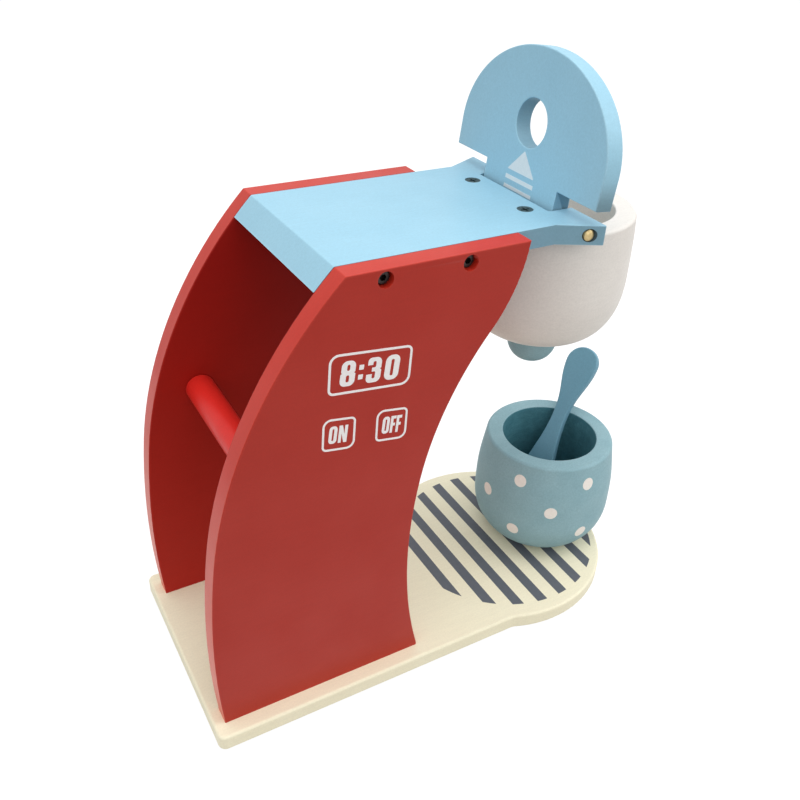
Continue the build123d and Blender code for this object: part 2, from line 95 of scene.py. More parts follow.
def satinPaint(name, look):
    # Sprayed water-based enamel on sanded wood: an even satin colour, a faint orange peel,
    # the wood's grain just telling through it, and a painted highlight on the rounded edges.
    material, tree = newMaterial(name)
    coords = addNode(tree, "ShaderNodeTexCoord").outputs["Object"]
    grainPlace = addNode(tree, "ShaderNodeMapping", {
        "Vector": coords, "Rotation": look["grainTurn"],
        "Scale": (look["grainStretch"], 1, 1)})
    clouds = addNode(tree, "ShaderNodeTexNoise", {
        "Vector": coords, "Scale": 1 / (look["cloudSize"] * mm), "Detail": 3.0, "Roughness": 0.55})
    peel = addNode(tree, "ShaderNodeTexNoise", {
        "Vector": coords, "Scale": 1 / (look["peelSize"] * mm), "Detail": 2.0, "Roughness": 0.6})
    grain = addNode(tree, "ShaderNodeTexNoise", {
        "Vector": grainPlace, "Scale": 1 / (look["grainWidth"] * mm), "Detail": 4.0,
        "Roughness": 0.65})
    body = addNode(tree, "ShaderNodeMix", {
        "Factor": clouds.outputs["Fac"], "A": linearColour(look["colour"]),
        "B": linearColour(look["shade"])}, data_type="RGBA").outputs["Result"]
    if "footPaintedLight" in look:        # painted light: another tone takes over on the way down to the foot
        height = addNode(tree, "ShaderNodeSeparateXYZ", {"Vector": coords}).outputs["Z"]
        lowDown = addNode(tree, "ShaderNodeMapRange", {
            "Value": height, "From Min": look["footFrom"] * mm, "From Max": look["footFull"] * mm})
        body = addNode(tree, "ShaderNodeMix", {
            "Factor": lowDown, "A": body, "B": linearColour(look["footPaintedLight"])},
            data_type="RGBA").outputs["Result"]
    speckle = addNode(tree, "ShaderNodeMapRange", {
        "Value": peel.outputs["Fac"], **noiseSpan,
        "To Min": 1 - look["speckle"], "To Max": 1 + look["speckle"]})
    streak = addNode(tree, "ShaderNodeMapRange", {
        "Value": grain.outputs["Fac"], **noiseSpan,
        "To Min": 1 - look["streak"], "To Max": 1 + look["streak"]})
    unevenness = addNode(tree, "ShaderNodeMath", {0: speckle, 1: streak}, operation="MULTIPLY")
    tone = addNode(tree, "ShaderNodeMix", {"Factor": 1.0, "A": body, "B": unevenness},
                   data_type="RGBA", blend_type="MULTIPLY").outputs["Result"]
    # painted highlight: rounded edges turn towards the edge colour, standing in for the light that
    # they catch
    soft = addNode(tree, "ShaderNodeBevel", {"Radius": look["edgeWidth"] * mm}, samples=4)
    flat = addNode(tree, "ShaderNodeNewGeometry").outputs["Normal"]
    likeness = addNode(tree, "ShaderNodeVectorMath", {0: soft, 1: flat},
                       operation="DOT_PRODUCT").outputs["Value"]
    edgeHighlightMask = addNode(tree, "ShaderNodeMapRange", {
        "Value": likeness, "From Min": look["edgeFrom"], "From Max": look["edgeFull"],
        "To Min": 0.0, "To Max": look["edgeHighlightStrength"]})
    edgeHighlighted = addNode(tree, "ShaderNodeMix", {
        "Factor": edgeHighlightMask, "A": tone, "B": linearColour(look["edgeHighlightColour"])},
        data_type="RGBA").outputs["Result"]
    rough = addNode(tree, "ShaderNodeMapRange", {
        "Value": clouds.outputs["Fac"], **noiseSpan,
        "To Min": look["roughness"] - look["shinier"],
        "To Max": look["roughness"] + look["duller"]})
    fine = addNode(tree, "ShaderNodeBump", {
        "Height": peel.outputs["Fac"], "Strength": look["peelStrength"],
        "Distance": look["peelHeight"] * mm})
    relief = addNode(tree, "ShaderNodeBump", {
        "Height": grain.outputs["Fac"], "Normal": fine,
        "Strength": look["grainStrength"], "Distance": look["grainHeight"] * mm})
    shader = addNode(tree, "ShaderNodeBsdfPrincipled", {
        "Base Color": edgeHighlighted, "Roughness": rough, "Normal": relief,
        "IOR": 1.5, "Specular IOR Level": look["gloss"]})
    addNode(tree, "ShaderNodeOutputMaterial", {"Surface": shader})
    return material


paintHabits = {                 # sizes in mm
    "grainTurn": (0.0, 0.0, 0.0),
    "grainStretch": 0.12,       # grain runs along X, eight times longer than wide
    "grainWidth": 1.6,
    "cloudSize": 28.0,
    "peelSize": 0.9,            # real orange peel is finer; drawn as coarse as it shows
    "peelStrength": 0.35,
    "peelHeight": 0.05,
    "grainStrength": 0.25,
    "grainHeight": 0.06,
    "speckle": 0.035,
    "streak": 0.02,
    "edgeWidth": 1.3,
    "edgeFrom": 0.995,          # how alike the flat and the rounded facing are where the painted edge highlight starts, and where it is strongest
    "edgeFull": 0.93,           # coat starts to thin, and where it is thinnest
    "edgeHighlightStrength": 0.18,
    "roughness": 0.46,
    "shinier": 0.04,            # how far patches stray from that, each way
    "duller": 0.05,
    "gloss": 0.25,
}
upright = (0.0, math.radians(90), 0.0)
finishes = {
    # lacquered poppy red of the two sides, deep and even
    "satinRedPaint": {"colour": "b02613", "shade": "a62211", "edgeHighlightColour": "d04a3a",
                      "grainTurn": upright, "gloss": 0.38, "roughness": 0.46},
    # the same red on the rims, lighter as painted light, and paler down by the foot as a painted
    # sheen
    "satinRedRimPaintedLight": {"colour": "cb3424", "shade": "c12e1f", "edgeHighlightColour": "d45444",
                         "grainTurn": upright, "gloss": 0.3, "roughness": 0.4,
                         "footPaintedLight": "e0705e", "footFrom": 150.0, "footFull": 40.0},
    # painted shade on the inner faces: a darker red, deepest up under the plate and lighter down
    # at the foot
    "mattRedInnerPaintedShade": {"colour": "9e130a", "shade": "961008", "edgeHighlightColour": "c23a2c",
                          "grainTurn": upright, "gloss": 0.18, "roughness": 0.55,
                          "footPaintedLight": "b0251a", "footFrom": 200.0, "footFull": 60.0},
    # the rod's fresher, glossier red
    "glossRedPaint": {"colour": "e22c24", "shade": "d8261f", "edgeHighlightColour": "ee6a5c",
                      "roughness": 0.36, "gloss": 0.32},
    # light sky blue of the top plate and lid, clean and even with a soft sheen
    "satinSkyPaint": {"colour": "a1cfe3", "shade": "9ac8dd", "edgeHighlightColour": "bfe2f0",
                      "roughness": 0.42},
    # painted shade: a darker blue on the plate's sides, the lid's finger-hole wall and the tab's
    # sides
    "satinSkyPaintedShade": {"colour": "84acbe", "shade": "7da5b8", "edgeHighlightColour": "9cc4d6",
                          "roughness": 0.5},
    # painted shade: a dark grey-blue in the recesses round the pins
    "mattRecessPaintedShade": {"colour": "52656c", "shade": "42535a", "edgeHighlightColour": "647880",
                       "roughness": 0.7, "gloss": 0.15},
    # warm ivory of the base, as soft to the eye as cream
    "satinIvoryPaint": {"colour": "f8f2d7", "shade": "f2ebce", "edgeHighlightColour": "f9f5e4"},
    # chalk white of the bowl: warm, and never quite a pure white
    "satinChalkPaint": {"colour": "f1ece6", "shade": "eae4dd", "edgeHighlightColour": "f9f6f2"},
    # dusty blue of the cup and nozzle, dry and a little speckled
    "mattDustyBluePaint": {"colour": "99bbc3", "shade": "86abb5", "edgeHighlightColour": "a9ccd5",
                           "roughness": 0.55, "speckle": 0.07, "cloudSize": 14.0},
    # the spoon's deeper blue, smoother than the cup's
    "mattSlateBluePaint": {"colour": "75a5b9", "shade": "6b99ad", "edgeHighlightColour": "82b0c3",
                           "roughness": 0.5, "speckle": 0.05},
    # the cup's hollow: a deeper, streaky blue; the depth is painted shade, the streaks are brush
    # marks
    "streakyTealPaintedShade": {"colour": "5f98a4", "shade": "3f7582", "edgeHighlightColour": "7daebb",
                         "grainTurn": upright, "grainStretch": 0.2, "streak": 0.14,
                         "speckle": 0.1, "cloudSize": 9.0, "roughness": 0.6},
}
paints = {name: satinPaint(name, {**paintHabits, **look}) for name, look in finishes.items()}


def screenInk(name, look):
    # Screen-printed ink: a thin dead-flat film, slightly uneven where the squeegee passed.
    material, tree = newMaterial(name)
    coords = addNode(tree, "ShaderNodeTexCoord").outputs["Object"]
    patch = addNode(tree, "ShaderNodeTexNoise", {
        "Vector": coords, "Scale": 1 / (look["patchSize"] * mm), "Detail": 3.0}).outputs["Fac"]
    colour = addNode(tree, "ShaderNodeMix", {
        "Factor": patch, "A": linearColour(look["colour"]),
        "B": linearColour(look["shade"])}, data_type="RGBA").outputs["Result"]
    relief = addNode(tree, "ShaderNodeBump", {
        "Height": patch, "Strength": 0.2, "Distance": 0.02 * mm})
    shader = addNode(tree, "ShaderNodeBsdfPrincipled", {
        "Base Color": colour, "Roughness": look["roughness"], "Normal": relief,
        "Specular IOR Level": 0.3})
    addNode(tree, "ShaderNodeOutputMaterial", {"Surface": shader})
    return material


inks = {name: screenInk(name, look) for name, look in {
    # the base's stripes: a cool dark grey, worn a little lighter in patches
    "slateStripeInk": {"colour": "5b6068", "shade": "666b73", "patchSize": 2.5,
                       "roughness": 0.55},
    # the signs on the red side: a full white, warmed where the red tells through
    "whitePanelInk": {"colour": "ffffff", "shade": "f6efee", "patchSize": 1.2,
                      "roughness": 0.5},
    # the cup's dots: an off-white like chalk, dry to the eye
    "chalkDotInk": {"colour": "fbf5ee", "shade": "efe8e0", "patchSize": 1.5,
                    "roughness": 0.55},
    # the lid's arrow and bars: a thin white that the blue below turns cool
    "paleLidInk": {"colour": "e6eff2", "shade": "d8e4e9", "patchSize": 1.5,
                   "roughness": 0.5},
}.items()}


def bareMetal(name, look):
    # Turned or pressed metal: the colour is all in the reflection, with fine turning marks.
    material, tree = newMaterial(name)
    coords = addNode(tree, "ShaderNodeTexCoord").outputs["Object"]
    marks = addNode(tree, "ShaderNodeTexNoise", {
        "Vector": coords, "Scale": 1 / (look["markSize"] * mm), "Detail": 3.0}).outputs["Fac"]
    rough = addNode(tree, "ShaderNodeMapRange", {
        "Value": marks, **noiseSpan,
        "To Min": look["roughness"] - look["shinier"],
        "To Max": look["roughness"] + look["duller"]})
    colour = addNode(tree, "ShaderNodeMix", {
        "Factor": marks, "A": linearColour(look["colour"]),
        "B": linearColour(look["shade"])}, data_type="RGBA").outputs["Result"]
    relief = addNode(tree, "ShaderNodeBump", {
        "Height": marks, "Strength": 0.25, "Distance": 0.02 * mm})
    shader = addNode(tree, "ShaderNodeBsdfPrincipled", {
        "Base Color": colour, "Metallic": look["metallic"], "Roughness": rough,
        "Normal": relief})
    addNode(tree, "ShaderNodeOutputMaterial", {"Surface": shader})
    return material


metalHabits = {"shinier": 0.06, "duller": 0.08}     # how far a metal's roughness strays
metals = {name: bareMetal(name, {**metalHabits, **look}) for name, look in {
    # polished brass pins, warm and bright
    "polishedBrass": {"colour": "d3bf92", "shade": "b09b68", "markSize": 0.9,
                      "metallic": 1.0, "roughness": 0.4},
    # blackened steel cap screws: nearly black, only the rims catch light
    "blackOxideSteel": {"colour": "4a4442", "shade": "242021", "markSize": 0.9,
                        "metallic": 0.9, "roughness": 0.3},
    # phosphated countersunk screws: a dull grey-green with no bright spots
    "phosphatedSteel": {"colour": "5d6f70", "shade": "48595b", "markSize": 0.4,
                        "metallic": 0.85, "roughness": 0.45},
}.items()}
print("finishes made:", len(paints) + len(inks) + len(metals))


def plainMesh(helper, name):
    # the evaluated mesh as a plain one, without the helper and its modifiers
    graph = bpy.context.evaluated_depsgraph_get()
    mesh = bpy.data.meshes.new_from_object(helper.evaluated_get(graph), depsgraph=graph)
    mesh.name = name
    bpy.data.objects.remove(helper)
    return mesh


def place(name, mesh, material, body, standsFor=()):
    # one finished piece: its mesh, its finish and the body that it rides
    mesh.materials.clear()
    mesh.materials.append(material)
    piece = bpy.data.objects.new(name, mesh)
    bpy.context.scene.collection.objects.link(piece)
    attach(piece, body)
    if standsFor:
        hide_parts(*standsFor)
    return piece


smoothing = {
    "weld": 0.002,              # mm
    "flatAngle": 0.4,           # degrees between faces that are one flat face
    "creaseAngle": 32,          # degrees past which an edge stays sharp
    "faceWeight": 90,           # how far the large faces lead the shading
}


def shadeRound(mesh):
    # smooth shading that keeps the creases
    mesh.polygons.foreach_set("use_smooth", [True] * len(mesh.polygons))
    mesh.set_sharp_from_angle(angle=math.radians(smoothing["creaseAngle"]))


def smoothCopy(node):
    # welded copy of a frame node: flat faces whole, rounded edges shaded round
    shape = bmesh.new()
    shape.from_mesh(frame["nodes"][node].data)
    bmesh.ops.remove_doubles(shape, verts=shape.verts, dist=smoothing["weld"] * mm)
    bmesh.ops.dissolve_limit(shape, angle_limit=math.radians(smoothing["flatAngle"]),
                             verts=shape.verts, edges=shape.edges)
    mesh = bpy.data.meshes.new(node)
    shape.to_mesh(mesh)
    shape.free()
    shadeRound(mesh)
    helper = bpy.data.objects.new(node + "Helper", mesh)
    bpy.context.scene.collection.objects.link(helper)
    level = helper.modifiers.new("flatFaces", "WEIGHTED_NORMAL")
    level.keep_sharp = True
    level.weight = smoothing["faceWeight"]
    return plainMesh(helper, node)


def repaint(name, paint, chosen):
    # one more finish on a piece, on the faces that are chosen
    mesh = bpy.data.objects[name].data
    mesh.materials.append(paints[paint])
    for face in mesh.polygons:
        if chosen(face):
            face.material_index = len(mesh.materials) - 1


woodPieces = [                  # piece, node, paint, body, slot
    ("ivoryBase", "base_board", "satinIvoryPaint", "machine", "cream_paint"),
    ("leftSide", "side_panel_left", "satinRedPaint", "machine", "red_paint"),
    ("rightSide", "side_panel_right", "satinRedPaint", "machine", "red_paint"),
    ("crossRod", "cross_dowel", "glossRedPaint", "machine", "red_paint"),
    ("topPlate", "top_block", "satinSkyPaint", "machine", "sky_paint"),
    ("lidDisc", "lid", "satinSkyPaint", "lid", "sky_paint"),
    ("chalkBowl", "bowl", "satinChalkPaint", "machine", "white_paint"),
    ("dripNozzle", "nozzle", "mattDustyBluePaint", "machine", "blue_paint"),
    ("dottedCup", "cup", "mattDustyBluePaint", "cup", "cup_paint"),
    ("stirSpoon", "spoon", "mattSlateBluePaint", "spoon", "blue_paint"),
]
for name, node, paint, body, slotName in woodPieces:
    place(name, smoothCopy(node), paints[paint], body, [node])
for side in ("left", "right"):
    node = "hinge_pin_" + side
    place(side + "HingePin", smoothCopy(node), metals["polishedBrass"], "machine", [node])

# Some faces of a piece get another finish, which paints shade or light on them. A turn is how far
# a face's normal leans along an axis: 0 lies along the face and 1 stands square to it.
cupHollow = {"radius": 27.8 * mm, "aboveFoot": 6 * mm, "belowRim": 0.4 * mm}
cupPiece = bpy.data.objects["dottedCup"]
cupLow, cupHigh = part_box("cup")
cupAxis = (cupLow.x + cupHigh.x) / 2
hollowLow = cupLow.z + cupHollow["aboveFoot"]
hollowHigh = cupHigh.z - cupHollow["belowRim"]
# painted shade: the hollow's faces get the deeper, streaky blue
repaint("dottedCup", "streakyTealPaintedShade", lambda face: (
    math.hypot(face.center.x - cupAxis, face.center.y) < cupHollow["radius"]
    and hollowLow < face.center.z < hollowHigh))

sidePanels = {"rimTurn": 0.5, "innerLean": 0.5 * mm}    # the lean: turn times distance from Y = 0
for name in ("leftSide", "rightSide"):
    # painted light: the rims get a lighter red that turns paler towards the foot
    repaint(name, "satinRedRimPaintedLight", lambda face: abs(face.normal.y) < sidePanels["rimTurn"])
    # painted shade: the faces that look inwards get a darker red
    repaint(name, "mattRedInnerPaintedShade", lambda face: (
        face.normal.y * face.center.y < -sidePanels["innerLean"]))

lidHinge = next(joint for joint in frame["joints"] if joint["name"] == "lid_hinge")
hinge = Vector(lidHinge["pos_m"])
lidLean = math.radians(90 - lidHinge["range_deg"][1])   # it closes flat, so this is left upright
lidUp = Vector((math.sin(lidLean), 0, math.cos(lidLean)))
lidOut = Vector((math.cos(lidLean), 0, -math.sin(lidLean)))

plateSides = {"sideTurn": 0.3}
pinRecess = {"radius": 3.2 * mm, "from": 30 * mm, "wallTurn": 0.1, "floorTurn": 0.99}
# painted shade on the plate's side faces
repaint("topPlate", "satinSkyPaintedShade", lambda face: abs(face.normal.z) < plateSides["sideTurn"])
# painted shade in the pins' recesses
repaint("topPlate", "mattRecessPaintedShade", lambda face: (     # its floor and wall, not the slanted ear
    math.hypot(face.center.x - hinge.x, face.center.z - hinge.z) < pinRecess["radius"]
    and abs(face.center.y) > pinRecess["from"]
    and not pinRecess["wallTurn"] < abs(face.normal.y) < pinRecess["floorTurn"]))

fingerHole = {"reach": 35.0 * mm, "within": 12.0 * mm, "wallTurn": 0.5}
holeMiddle = hinge + lidUp * fingerHole["reach"]
# painted shade on the finger hole's wall
repaint("lidDisc", "satinSkyPaintedShade", lambda face: (
    abs(face.normal @ lidOut) < fingerHole["wallTurn"]
    and (face.center - holeMiddle).length < fingerHole["within"]))

tabSides = {"abovePlate": 8 * mm, "halfWidth": 30 * mm, "sideTurn": 0.9}
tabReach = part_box("top_block")[1].z + tabSides["abovePlate"]
# painted shade on the tab's sides, in the gap beside the ears
repaint("lidDisc", "satinSkyPaintedShade", lambda face: (
    abs(face.normal.y) > tabSides["sideTurn"] and face.center.z < tabReach
    and abs(face.center.y) < tabSides["halfWidth"]))
print("wooden pieces and pins dressed")


def newTree(name, inputs):
    tree = bpy.data.node_groups.new(name, "GeometryNodeTree")
    tree.interface.new_socket("Geometry", in_out="INPUT", socket_type="NodeSocketGeometry")
    tree.interface.new_socket("Geometry", in_out="OUTPUT", socket_type="NodeSocketGeometry")
    for label, value in inputs.items():
        kind = {"Material": "NodeSocketMaterial", "Object": "NodeSocketObject"}.get(
            type(value).__name__, "NodeSocketInt" if isinstance(value, int) else "NodeSocketFloat")
        tree.interface.new_socket(label, in_out="INPUT", socket_type=kind)
    return tree, addNode(tree, "NodeGroupInput").outputs


def closeTree(tree, geometry, material):
    real = addNode(tree, "GeometryNodeRealizeInstances", {"Geometry": geometry})
    painted = addNode(tree, "GeometryNodeSetMaterial", {
        "Geometry": real.outputs["Geometry"], "Material": material})
    addNode(tree, "NodeGroupOutput", {"Geometry": painted.outputs["Geometry"]})


def grow(name, tree, inputs, places=(), facings=()):
    # runs the tree on a mesh of loose points and returns what it makes as a plain mesh
    points = bpy.data.meshes.new(name + "Points")
    points.from_pydata([tuple(p) for p in places], [], [])
    if facings:
        facing = points.attributes.new("facing", "FLOAT_VECTOR", "POINT")
        facing.data.foreach_set("vector", [c for f in facings for c in f])
    helper = bpy.data.objects.new(name + "Helper", points)
    bpy.context.scene.collection.objects.link(helper)
    modifier = helper.modifiers.new(name, "NODES")
    modifier.node_group = tree
    for item in tree.interface.items_tree:
        if item.in_out == "INPUT" and item.name in inputs:
            modifier[item.identifier] = inputs[item.name]
    return plainMesh(helper, name)


def solidCopies(tree, part, points):
    # copies of a part on every point, its Z axis along the point's facing
    facing = addNode(tree, "GeometryNodeInputNamedAttribute", {"Name": "facing"},
                     data_type="FLOAT_VECTOR").outputs["Attribute"]
    turn = addNode(tree, "FunctionNodeAlignRotationToVector", {"Vector": facing}, axis="Z")
    return addNode(tree, "GeometryNodeInstanceOnPoints", {
        "Points": points, "Instance": part, "Rotation": turn})


# A screw is drawn head up, its top at the origin. The shank starts a little inside the head,
# so that the two join.
screwMake = {"headSides": 48, "shankSides": 24, "joinAt": 0.9}

crossScrew = {"Head Radius": 3.75 * mm, "Shank Radius": 1.5 * mm, "Shank Length": 10 * mm,
              "Slot Length": 4.4 * mm, "Slot Width": 0.9 * mm, "Slot Depth": 1.3 * mm}
tree, given = newTree("countersunkScrews", {**crossScrew, "Finish": metals["phosphatedSteel"]})
headDepth = addNode(tree, "ShaderNodeMath", {    # a 90 degree cone is as deep as it narrows
    0: given["Head Radius"], 1: given["Shank Radius"]}, operation="SUBTRACT")
cone = addNode(tree, "GeometryNodeMeshCone", {
    "Vertices": screwMake["headSides"], "Radius Top": given["Head Radius"],
    "Radius Bottom": given["Shank Radius"], "Depth": headDepth})
headDrop = addNode(tree, "ShaderNodeMath", {0: headDepth, 1: -1.0}, operation="MULTIPLY")
head = addNode(tree, "GeometryNodeTransform", {
    "Geometry": cone, "Translation": addNode(tree, "ShaderNodeCombineXYZ", {"Z": headDrop})})
shank = addNode(tree, "GeometryNodeMeshCylinder", {
    "Vertices": screwMake["shankSides"], "Radius": given["Shank Radius"],
    "Depth": given["Shank Length"]})
shankTop = addNode(tree, "ShaderNodeMath", {0: headDepth, 1: -screwMake["joinAt"]},
                   operation="MULTIPLY")
shankDrop = addNode(tree, "ShaderNodeMath", {
    0: given["Shank Length"], 1: -0.5, 2: shankTop}, operation="MULTIPLY_ADD")
shankDown = addNode(tree, "GeometryNodeTransform", {
    "Geometry": shank, "Translation": addNode(tree, "ShaderNodeCombineXYZ", {"Z": shankDrop})})
slotHeight = addNode(tree, "ShaderNodeMath", {0: given["Slot Depth"], 1: 2.0},
                     operation="MULTIPLY")
slotOne = addNode(tree, "GeometryNodeMeshCube", {
    "Size": addNode(tree, "ShaderNodeCombineXYZ", {
        "X": given["Slot Length"], "Y": given["Slot Width"], "Z": slotHeight})})
slotTwo = addNode(tree, "GeometryNodeTransform", {
    "Geometry": slotOne, "Rotation": (0, 0, math.radians(90))})
whole = addNode(tree, "GeometryNodeMeshBoolean", operation="UNION")
for bit in (head, shankDown):
    tree.links.new(bit.outputs["Geometry"], whole.inputs["Mesh 2"])
cut = addNode(tree, "GeometryNodeMeshBoolean", {"Mesh 1": whole}, operation="DIFFERENCE")
for slot in (slotOne, slotTwo):
    tree.links.new(slot.outputs[0], cut.inputs["Mesh 2"])
closeTree(tree, solidCopies(tree, cut, given["Geometry"]), given["Finish"])


def headPlace(node, axis, sign):
    # middle of the end of a screw's box that its head is at
    low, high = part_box(node)
    spot = (low + high) / 2
    spot[axis] = high[axis] if sign > 0 else low[axis]
    return spot


def screwSet(name, tree, sizes, finish, nodes, axis, signs):
    # one screw for each node, its head facing along the axis, forwards or back by its sign
    facings = [[s if i == axis else 0.0 for i in range(3)] for s in signs]
    spots = [headPlace(node, axis, s) for node, s in zip(nodes, signs)]
    mesh = grow(name, tree, {**sizes, "Finish": finish}, spots, facings)
    mesh.validate()             # the cuts leave a few edges twice over
    shadeRound(mesh)
    place(name, mesh, finish, "machine", nodes)


corners = [f"{side}_{end}" for side in ("left", "right") for end in ("rear", "front")]
topNodes = ["bowl_screw_left", "bowl_screw_right", "nozzle_screw"]
screwSet("plateScrews", tree, crossScrew, metals["phosphatedSteel"], topNodes, 2, [1, 1, 1])
footNodes = ["base_screw_" + corner for corner in corners]
screwSet("footScrews", tree, crossScrew, metals["phosphatedSteel"], footNodes, 2, [-1] * 4)

capScrew = {"Head Radius": 3.0 * mm, "Head Height": 3.2 * mm, "Edge": 0.4 * mm,
            "Socket Radius": 1.5 * mm, "Socket Depth": 2.0 * mm, "Shank Radius": 1.75 * mm,
            "Shank Length": 14 * mm}
tree, given = newTree("socketCapScrews", {**capScrew, "Finish": metals["blackOxideSteel"]})
drumHeight = addNode(tree, "ShaderNodeMath", {0: given["Head Height"], 1: given["Edge"]},
                     operation="SUBTRACT")
drum = addNode(tree, "GeometryNodeMeshCylinder", {
    "Vertices": screwMake["headSides"], "Radius": given["Head Radius"], "Depth": drumHeight})
drumHalf = addNode(tree, "ShaderNodeMath", {0: drumHeight, 1: -0.5}, operation="MULTIPLY")
drumDrop = addNode(tree, "ShaderNodeMath", {0: drumHalf, 1: given["Edge"]}, operation="SUBTRACT")
drumDown = addNode(tree, "GeometryNodeTransform", {
    "Geometry": drum, "Translation": addNode(tree, "ShaderNodeCombineXYZ", {"Z": drumDrop})})
crownRadius = addNode(tree, "ShaderNodeMath", {0: given["Head Radius"], 1: given["Edge"]},
                      operation="SUBTRACT")
crown = addNode(tree, "GeometryNodeMeshCone", {
    "Vertices": screwMake["headSides"], "Radius Bottom": given["Head Radius"],
    "Radius Top": crownRadius, "Depth": given["Edge"]})
crownDrop = addNode(tree, "ShaderNodeMath", {0: given["Edge"], 1: -1.0}, operation="MULTIPLY")
crownDown = addNode(tree, "GeometryNodeTransform", {
    "Geometry": crown, "Translation": addNode(tree, "ShaderNodeCombineXYZ", {"Z": crownDrop})})
stem = addNode(tree, "GeometryNodeMeshCylinder", {
    "Vertices": screwMake["shankSides"], "Radius": given["Shank Radius"],
    "Depth": given["Shank Length"]})
stemTop = addNode(tree, "ShaderNodeMath", {0: given["Head Height"], 1: -screwMake["joinAt"]},
                  operation="MULTIPLY")
stemDrop = addNode(tree, "ShaderNodeMath", {
    0: given["Shank Length"], 1: -0.5, 2: stemTop}, operation="MULTIPLY_ADD")
stemDown = addNode(tree, "GeometryNodeTransform", {
    "Geometry": stem, "Translation": addNode(tree, "ShaderNodeCombineXYZ", {"Z": stemDrop})})
socketHeight = addNode(tree, "ShaderNodeMath", {0: given["Socket Depth"], 1: 2.0},
                       operation="MULTIPLY")
hexSocket = addNode(tree, "GeometryNodeMeshCylinder", {
    "Vertices": 6, "Radius": given["Socket Radius"], "Depth": socketHeight})
whole = addNode(tree, "GeometryNodeMeshBoolean", operation="UNION")
for bit in (drumDown, crownDown, stemDown):
    tree.links.new(bit.outputs["Geometry"], whole.inputs["Mesh 2"])
cut = addNode(tree, "GeometryNodeMeshBoolean", {"Mesh 1": whole, "Mesh 2": hexSocket},
              operation="DIFFERENCE")
closeTree(tree, solidCopies(tree, cut, given["Geometry"]), given["Finish"])
sideNodes = ["side_screw_" + corner for corner in corners]
screwSet("sideScrews", tree, capScrew, metals["blackOxideSteel"], sideNodes, 1, [1, 1, -1, -1])
print("screws made:", len(topNodes + footNodes + sideNodes))

printWeld = 0.001 * mm          # closes the seams of a printed film

# Stripes printed across the base's round end: each is a bar whose ends are moved to a circle.
stripes = {"Stripes": 8, "First": 15.0 * mm, "Pitch": 14.04 * mm, "Width": 6.0 * mm,
           "Centre": 67.4 * mm, "Radius": 57.7 * mm, "Film": 0.1 * mm}
stripes["Top"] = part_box("base_board")[1].z
stripes["Finish"] = inks["slateStripeInk"]
tree, given = newTree("baseStripes", stripes)
bar = addNode(tree, "GeometryNodeMeshCube", {
    "Vertices X": 13, "Vertices Y": 2, "Vertices Z": 2,
    "Size": addNode(tree, "ShaderNodeCombineXYZ", {
        "X": given["Width"], "Y": 1.0, "Z": given["Film"]})})
firstMiddle = addNode(tree, "ShaderNodeMath", {
    0: given["Width"], 1: 0.5, 2: given["First"]}, operation="MULTIPLY_ADD")
row = addNode(tree, "GeometryNodeMeshLine", {
    "Count": given["Stripes"],
    "Start Location": addNode(tree, "ShaderNodeCombineXYZ", {"X": firstMiddle, "Z": given["Top"]}),
    "Offset": addNode(tree, "ShaderNodeCombineXYZ", {"X": given["Pitch"]})})
bars = addNode(tree, "GeometryNodeInstanceOnPoints", {"Points": row, "Instance": bar})
realBars = addNode(tree, "GeometryNodeRealizeInstances", {"Geometry": bars})
axes = addNode(tree, "ShaderNodeSeparateXYZ", {
    "Vector": addNode(tree, "GeometryNodeInputPosition")}).outputs
ahead = addNode(tree, "ShaderNodeMath", {0: axes["X"], 1: given["Centre"]}, operation="SUBTRACT")
aheadSquare = addNode(tree, "ShaderNodeMath", {0: ahead, 1: ahead}, operation="MULTIPLY")
radiusSquare = addNode(tree, "ShaderNodeMath", {0: given["Radius"], 1: given["Radius"]},
                       operation="MULTIPLY")
rest = addNode(tree, "ShaderNodeMath", {0: radiusSquare, 1: aheadSquare}, operation="SUBTRACT")
inside = addNode(tree, "ShaderNodeMath", {0: 0.0, 1: rest}, operation="MAXIMUM")
halfChord = addNode(tree, "ShaderNodeMath", {0: inside}, operation="SQRT")
whichEnd = addNode(tree, "ShaderNodeMath", {0: axes["Y"]}, operation="SIGN")
endPlace = addNode(tree, "ShaderNodeMath", {0: halfChord, 1: whichEnd}, operation="MULTIPLY")
trimmed = addNode(tree, "GeometryNodeSetPosition", {
    "Geometry": realBars,
    "Position": addNode(tree, "ShaderNodeCombineXYZ", {
        "X": axes["X"], "Y": endPlace, "Z": axes["Z"]})})
closeTree(tree, trimmed, given["Finish"])
place("baseStripes", grow("baseStripes", tree, stripes), inks["slateStripeInk"], "machine")

# Rows of dots printed round the cup: each row leaves a gap where the print starts and ends.
# A dot starts off the wall, is cast on to it along the level line to the axis, and then
# gets its thickness from just under the wall.
dots = {"Dots": 5, "Rows": 3, "Top Row": 64.5 * mm, "Row Drop": 17.0 * mm,
        "First Angle": math.radians(-150.6), "Step": math.radians(60),
        "Row Shift": math.radians(149.3), "Dot Radius": 3.8 * mm, "Start Radius": 41 * mm,
        "Film": 0.12 * mm, "Sink": 0.05 * mm}
dots.update({"Axis": cupAxis, "Cup": cupPiece, "Finish": inks["chalkDotInk"]})
tree, given = newTree("cupDots", dots)
many = addNode(tree, "GeometryNodeMeshLine", {
    "Count": addNode(tree, "ShaderNodeMath", {0: given["Dots"], 1: given["Rows"]},
                     operation="MULTIPLY")})
index = addNode(tree, "GeometryNodeInputIndex")
rowsPassed = addNode(tree, "ShaderNodeMath", {0: index, 1: given["Dots"]}, operation="DIVIDE")
rowNumber = addNode(tree, "ShaderNodeMath", {0: rowsPassed}, operation="FLOOR")
inRow = addNode(tree, "ShaderNodeMath", {0: index, 1: given["Dots"]}, operation="MODULO")
